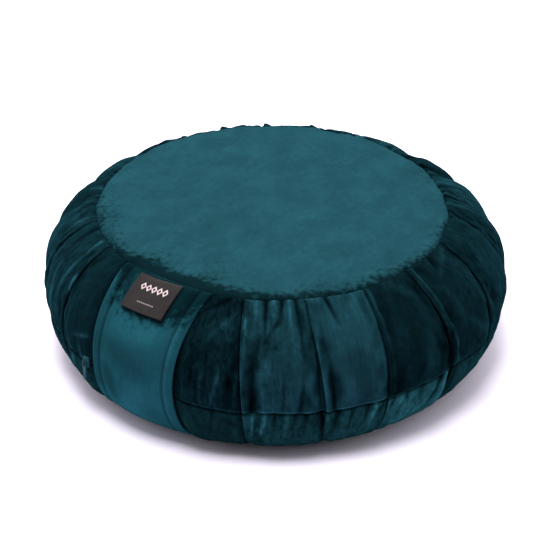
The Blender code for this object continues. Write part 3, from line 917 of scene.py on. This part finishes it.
def make_handle(material):
    """A flat tube of velvet: its outer face, round edges and inner face, as one closed skin."""
    half = HANDLE_WIDTH / 2
    edge_round = HANDLE_CLOTH / 2
    outer = np.linspace(-half + edge_round, half - edge_round, 84)
    bend = np.radians(np.linspace(90, -90, 9))[1:-1]
    edge_across = half - edge_round + edge_round * np.cos(bend)
    edge_out = -edge_round + edge_round * np.sin(bend)
    back = np.linspace(half - edge_round, -half + edge_round, 24)
    across = np.concatenate([outer, edge_across, back, -edge_across[::-1]])
    skin = np.concatenate([0 * outer, edge_out, 0 * back - 2 * edge_round, edge_out[::-1]])
    shown = (skin > -edge_round) * 1.0
    row = np.linspace(0.3 * MM, SIDE_LENGTH - 0.2 * MM, 150)
    a, d = np.meshgrid(across, row)
    inset = half - np.abs(a)
    stitch = bump(inset - STITCH_INSET, 0.9 * MM)
    beside = bump(inset - STITCH_INSET + 2.4 * MM, 1.3 * MM)
    rolled = 0.5 * MM * bump(inset - 0.45 * STITCH_INSET, 2.6 * MM)
    body = 0.9 * MM * np.clip(1 - (a / (half - STITCH_INSET)) ** 2, 0, 1)
    flat = handle_points(a, d, 0 * a)
    ripple = 0.6 * MM * lumps(flat, 26, 7) + 0.22 * MM * lumps(flat, 8, 8)
    edge_wave = 0.6 * MM * np.sin(d / (15 * MM) + 1.3 + a / (30 * MM)) * (np.abs(a) / half) ** 3
    near_base = np.clip((SIDE_LENGTH - d) / (25 * MM), 0, 1)
    # The marks, with painted shade in their creases and painted sheen on their ridges.
    depth, nap = np.zeros_like(a), np.ones_like(a)
    for x0, y0, x1, y1, width, mark_depth, mark_tone_shade_and_sheen in HANDLE_MARKS:
        off, _ = off_line(a / MM - x0, d / MM - y0, x1 - x0, y1 - y0)
        amount = bump(off, width)
        depth += mark_depth * MM * amount
        nap *= 1 + (mark_tone_shade_and_sheen - 1) * amount
    raised = rolled + body + ripple + edge_wave - depth - 0.8 * MM * stitch
    out = skin[None, :] + shown[None, :] * raised * near_base - seam_roll(d, *HANDLE_ROLL)
    points = handle_points(a, d, out)
    points[..., 2] = np.maximum(points[..., 2], 0.1 * MM)
    mesh = grid_mesh("velvet_handle", points, (points[0].mean(axis=0), points[-1].mean(axis=0)))
    add_cloth_place(mesh, a, d)
    # Painted shade in the stitch lines, a painted highlight beside them and along the rolled edges,
    # and the borders a little darker.
    nap = nap * (1 - 0.45 * stitch) * (1 + 0.15 * beside) * (1 + 0.22 * lumps(flat, 24, 12))
    nap = nap * (1 + 0.2 * bump(inset - 0.4 * MM, 0.9 * MM))
    nap = nap * (1 - 0.14 * np.clip((STITCH_INSET - inset) / (1.5 * MM), 0, 1))
    add_value(mesh, "nap", nap)
    # Its pile is crushed most along the top seam and at the right corner, and a dark ring of
    # painted shadow lies round the tab.
    inner = np.clip(1 - np.abs(a) / half, 0, 1) ** 0.35
    crush = 1.15 * inner * np.clip((47 * MM - d) / (30 * MM), 0, 0.8) + 0.7 * bump(d, 7 * MM) + 0.08
    crush = crush + 0.6 * (0.5 + 0.5 * inner) * bump(d, 17 * MM)
    crush = crush + 0.5 * np.clip((a - 18 * MM) / (10 * MM), 0, 1) * bump(d, 22 * MM)
    # A painted shadow round the tab's sides and lower edge.
    beside_tab = np.maximum(np.abs(a) - TAB_WIDTH / 2, 0)
    below_tab = np.maximum(d - TAB_LENGTH - TAB_DROP * MM, 0)
    crush = crush + 0.5 * bump(np.hypot(beside_tab, below_tab), 2.6 * MM)
    add_value(mesh, "crush", crush)
    return add_piece(mesh, material)


def make_tab(material):
    """A small woven tab, caught in the top seam over the handle, its lower edge a little proud."""
    across = np.linspace(-TAB_WIDTH / 2, TAB_WIDTH / 2, 48)
    down = np.linspace(0.8 * MM, TAB_LENGTH, 42)
    a, d = np.meshgrid(across, down)
    share = d / TAB_LENGTH
    low = d + TAB_DROP * MM
    lift = 1.8 * MM * share**2 + 0.35 * MM * np.sin(a / (6 * MM) + 0.6) * share
    side_hem = bump(TAB_WIDTH / 2 - np.abs(a) - 0.6 * MM, 0.7 * MM)
    hem = 0.25 * MM * np.maximum(side_hem, bump(TAB_LENGTH - d - 0.6 * MM, 0.7 * MM))
    under = 1.6 * MM + lift - seam_roll(d, *TAB_ROLL)
    face = handle_points(a, low, under + TAB_CLOTH + hem)
    back = handle_points(a, low, under)
    loop = np.concatenate([face, back[:, ::-1]], axis=1)
    mesh = grid_mesh("woven_tab", loop, (loop[0].mean(axis=0), loop[-1].mean(axis=0)))
    add_cloth_place(mesh, np.concatenate([a, a[:, ::-1]], axis=1), np.concatenate([d, d], axis=1))
    return add_piece(mesh, material)


# ---- materials


def node(tree, kind, **settings):
    made = tree.nodes.new("ShaderNode" + kind)
    for key, value in settings.items():
        setattr(made, key, value)
    return made


def new_material(name):
    mat = bpy.data.materials.new(name)
    mat.use_nodes = True
    return mat, mat.node_tree, mat.node_tree.nodes["Principled BSDF"]


def feed(socket, value):
    """Link an input to an output, or give it a constant."""
    if isinstance(value, bpy.types.NodeSocket):
        socket.id_data.links.new(value, socket)
    else:
        socket.default_value = value


def set_inputs(made, **values):
    """Feed a node's inputs, each by its name with underscores for spaces."""
    for name, value in values.items():
        feed(made.inputs[name.replace("_", " ")], value)


def attribute(tree, name, output="Fac"):
    return node(tree, "Attribute", attribute_name=name).outputs[output]


def maths(tree, operation, *values):
    made = node(tree, "Math", operation=operation)
    for socket, value in zip(made.inputs, values):
        feed(socket, value)
    return made.outputs[0]


def product(tree, *values):
    total = values[0]
    for value in values[1:]:
        total = maths(tree, "MULTIPLY", total, value)
    return total


def ramped(tree, value, start, end, low, high, smooth=False):
    kind = "SMOOTHSTEP" if smooth else "LINEAR"
    made = node(tree, "MapRange", interpolation_type=kind)
    set_inputs(made, Value=value, From_Min=start, From_Max=end, To_Min=low, To_Max=high)
    return made.outputs["Result"]


def cloth_noise(tree, size, detail=2.0, low=0.0, high=1.0, distortion=0.0):
    """Noise over the flat cloth, with lumps of this size in mm across and down."""
    place = node(tree, "VectorMath", operation="DIVIDE")
    feed(place.inputs[0], attribute(tree, "cloth", "Vector"))
    feed(place.inputs[1], (*size, 1))
    made = node(tree, "TexNoise")
    set_inputs(made, Vector=place.outputs[0], Scale=1.0, Detail=detail, Distortion=distortion)
    return ramped(tree, made.outputs["Fac"], 0.3, 0.7, low, high)


def painted(tree, shader, colour, value):
    """Base colour: a colour that is darker and lighter with a value."""
    paint = node(tree, "VectorMath", operation="SCALE")
    set_inputs(paint, Vector=colour, Scale=value)
    set_inputs(shader, Base_Color=paint.outputs["Vector"])


def bumped(tree, shader, height, distance, strength=0.6):
    made = node(tree, "Bump")
    set_inputs(made, Height=height, Strength=strength, Distance=distance)
    set_inputs(shader, Normal=made.outputs["Normal"])


SHEEN_TINT = (0.10, 0.55, 0.68)
SHEEN_ROUGHNESS = 0.35


def velvet(name, colour, sheen, streaks, mottle, crushed_and_shadowed=0.0, rubbed=False):
    """Short-pile velvet, with streaks along the pile, soft mottling, a fine grain of pile and,
    where the mesh says so, dark flecks where it is crushed or rubbed and painted shadow. The mesh
    also gives the pile's lie, with painted shade in creases and folds and painted sheen on ridges."""
    mat, tree, shader = new_material(name)
    soft = cloth_noise(tree, (24, 30), 2, 1 - mottle, 1 + mottle)
    small = cloth_noise(tree, (4.5, 5.5), 3, 1 - 0.6 * mottle, 1 + 0.6 * mottle, 0.4)
    streak = cloth_noise(tree, (2.6, 26), 3, 1 - streaks, 1 + streaks)
    grain = cloth_noise(tree, (0.55, 0.8), 2, 0.82, 1.18)
    # The pile's lie from the mesh, with its painted shade and sheen.
    value = product(tree, attribute(tree, "nap"), soft, small, streak, grain)
    if rubbed:
        fleck = cloth_noise(tree, (4.0, 7.5), 4, -1, 1, 0.9)
        amount = maths(tree, "MULTIPLY", fleck, attribute(tree, "rub"))
        share = maths(tree, "ADD", amount, 1.0)
        value = product(tree, value, maths(tree, "MAXIMUM", share, 0.25))
    # Dark flecks where the pile is crushed, and the painted shadow that the mesh marks.
    if crushed_and_shadowed:
        blotch = cloth_noise(tree, (4.6, 4.6), 3, 0.18, 0.86, 0.2)
        speck = cloth_noise(tree, (2.4, 2.4), 2, 0, 1)
        amount = maths(tree, "ADD", attribute(tree, "crush"), blotch)
        value = product(tree, value, ramped(tree, amount, 0.72, 1.55, 1.0, 1 - crushed_and_shadowed, True))
        value = product(tree, value, ramped(tree, speck, 0.93, 1.0, 1.0, 0.80, True))
    painted(tree, shader, colour, value)
    set_inputs(shader, Roughness=0.9, Specular_IOR_Level=0.0, Sheen_Weight=sheen)
    set_inputs(shader, Sheen_Roughness=SHEEN_ROUGHNESS, Sheen_Tint=(*SHEEN_TINT, 1))
    bumped(tree, shader, maths(tree, "ADD", grain, small), 0.0005)
    return mat


# The tab's weave and its marks, in mm. A row of marks has half a mark's width, how far down it
# is, and half its length.
LOZENGE_ROW = (2.3, 10.0, 11.5)
LOZENGE_HIGH = 3.3
DASH_ROW = (0.9, 22.5, 7.2)
WARP_PITCH = 0.5
WEFT_PITCH = 0.42


def far_from(tree, value, middle):
    return maths(tree, "ABSOLUTE", maths(tree, "SUBTRACT", value, middle))


def woven_marks(tree, across, down):
    """Pale thread woven into the tape: a row of lozenges over a short dashed line."""

    def row_of(half, place, reach):
        inside = maths(tree, "LESS_THAN", maths(tree, "ABSOLUTE", across), reach)
        return maths(tree, "PINGPONG", across, half), far_from(tree, down, place), inside

    wave, off, inside = row_of(*LOZENGE_ROW)
    wave = maths(tree, "DIVIDE", wave, LOZENGE_ROW[0])
    off = maths(tree, "DIVIDE", off, LOZENGE_HIGH)
    outline = far_from(tree, maths(tree, "ADD", wave, off), 0.72)
    lozenges = product(tree, ramped(tree, outline, 0.18, 0.32, 1, 0, True), inside)
    wave, off, inside = row_of(*DASH_ROW)
    line = ramped(tree, off, 0.3, 0.6, 1, 0, True)
    dashes = product(tree, line, ramped(tree, wave, 0.25, 0.5, 0, 0.55, True), inside)
    return maths(tree, "MAXIMUM", lozenges, dashes)


def woven(name, colour):
    """Satin-woven tape with fine warp and weft ribs."""
    mat, tree, shader = new_material(name)
    xyz = node(tree, "SeparateXYZ")
    set_inputs(xyz, Vector=attribute(tree, "cloth", "Vector"))
    warp = maths(tree, "MULTIPLY", xyz.outputs[0], 2 * math.pi / WARP_PITCH)
    weft = maths(tree, "MULTIPLY", xyz.outputs[1], 2 * math.pi / WEFT_PITCH)
    rib = maths(tree, "ADD", maths(tree, "SINE", warp), maths(tree, "SINE", weft))
    ribbed = ramped(tree, rib, -2, 2, 0.72, 1.28)
    mottled = cloth_noise(tree, (9, 9), 2, 0.85, 1.15)
    thread = ramped(tree, woven_marks(tree, xyz.outputs[0], xyz.outputs[1]), 0, 1, 1, 32)
    painted(tree, shader, colour, product(tree, ribbed, mottled, thread))
    set_inputs(shader, Roughness=0.6, Specular_IOR_Level=0.1)
    bumped(tree, shader, rib, 0.00008)
    return mat


def enamel(name, colour):
    """Enamel over zinc, a little uneven in its colour and gloss."""
    mat, tree, shader = new_material(name)
    made = node(tree, "TexNoise")
    set_inputs(made, Vector=node(tree, "TexCoord").outputs["Object"], Scale=900)
    uneven = made.outputs["Fac"]
    painted(tree, shader, colour, ramped(tree, uneven, 0.3, 0.7, 0.8, 1.25))
    set_inputs(shader, Roughness=ramped(tree, uneven, 0.3, 0.7, 0.45, 0.6), Specular_IOR_Level=0.08)
    bumped(tree, shader, uneven, 0.00005)
    return mat


# ---- stage


def pointing(tree, way):
    """How far a direction of the surroundings points this way, from -1 to 1."""
    made = node(tree, "VectorMath", operation="DOT_PRODUCT")
    feed(made.inputs[0], node(tree, "TexCoord").outputs["Generated"])
    feed(made.inputs[1], way)
    return made.outputs["Value"]


def make_stage():
    """A pale floor in a studio that is bright beyond the cushion and to both of its sides, and
    dim on the camera's side."""
    bpy.ops.mesh.primitive_plane_add(size=12)
    floor = bpy.context.object
    floor.name = "floor"
    mat, _, shader = new_material("floor")
    set_inputs(shader, Base_Color=(0.89, 0.825, 0.955, 1), Roughness=0.95, Specular_IOR_Level=0.0)
    floor.data.materials.append(mat)
    world = bpy.data.worlds.new("studio")
    world.use_nodes = True
    tree = world.node_tree
    away = pointing(tree, from_camera(0, 1, 0))
    aside = maths(tree, "ABSOLUTE", pointing(tree, from_camera(1, 0, 0)))
    beyond = ramped(tree, away, *STUDIO_BEYOND, True)
    sides = ramped(tree, aside, *STUDIO_SIDES, True)
    strength = maths(tree, "ADD", beyond, sides)
    set_inputs(tree.nodes["Background"], Color=(1, 1, 1, 1), Strength=strength)
    scene.world = world


def from_camera(right, away, up):
    """A place given as seen by the camera: to its right, away from it and up, in metres."""
    angle = math.radians(CAMERA_TURN)
    x = Vector((math.cos(angle), math.sin(angle), 0))
    y = Vector((-math.sin(angle), math.cos(angle), 0))
    return x * right + y * away + Vector((0, 0, up))


def make_key():
    data = bpy.data.lights.new("key", "AREA")
    data.shape = "SQUARE"
    data.size = KEY_SIZE
    data.energy = KEY_WATTS
    lamp = add_object("key", data)
    lamp.location = from_camera(*KEY_PLACE)
    lamp.rotation_euler = (Vector((0, 0, 0.05)) - lamp.location).to_track_quat("-Z", "Y").to_euler()


def make_camera():
    data = bpy.data.cameras.new("camera")
    data.lens = CAMERA_LENS
    data.sensor_width = 36
    data.clip_end = 20
    camera = add_object("camera", data)
    rise = math.radians(CAMERA_RISE)
    place = from_camera(0, -CAMERA_DISTANCE * math.cos(rise), CAMERA_DISTANCE * math.sin(rise))
    look = (Vector(CAMERA_AIM) - place).to_track_quat("-Z", "Y").to_matrix().to_4x4()
    roll = Matrix.Rotation(math.radians(CAMERA_ROLL), 4, "Z")
    camera.matrix_world = Matrix.Translation(place) @ look @ roll
    scene.camera = camera


# ---- the object

make_camera()
make_stage()
make_key()
scene.view_settings.view_transform = "Standard"

velvet_top = velvet("velvet_top", (0.0085, 0.0420, 0.0545), 0.05, 0.03, 0.14, crushed_and_shadowed=0.78)
velvet_side = velvet("velvet_side", (0.0039, 0.0200, 0.0268), 0.03, 0.15, 0.12, rubbed=True)
velvet_low = velvet("velvet_low", (0.0038, 0.0212, 0.0255), 0.03, 0.15, 0.12, rubbed=True)
velvet_handle = velvet("velvet_handle", (0.0079, 0.0515, 0.0668), 0.06, 0.06, 0.10, crushed_and_shadowed=0.78)
tab_weave = woven("tab_weave", (0.0168, 0.0132, 0.0134))
zip_enamel = enamel("zip_enamel", (0.0055, 0.042, 0.056))

filling = Filling(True)
upper_ends = ((0, 0, TOP_SEAM_HEIGHT - MM), (0, 0, ZIP_SEAM_HEIGHT))
side_upper = make_band("pleated_upper", 0, upper_ends, velvet_side, filling)
lower_ends = ((0, 0, ZIP_SEAM_HEIGHT), (0, 0, 2.4 * MM))
side_lower = make_band("pleated_lower", 1, lower_ends, velvet_low, filling)
top = make_top(velvet_top)
base = make_base(velvet_side)
handle = make_handle(velvet_handle)
tab = make_tab(tab_weave)

for piece, stands_for in (
    (side_upper, "side_upper"),
    (side_lower, "side_lower"),
    (top, "top_panel"),
    (base, "base_panel"),
    (handle, "carry_handle"),
    (tab, "label_tab"),
):
    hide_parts(stands_for)

for name in ("zip_slider", "zip_pull"):
    bpy.data.objects[name].material_slots[0].material = zip_enamel

bpy.context.view_layer.update()
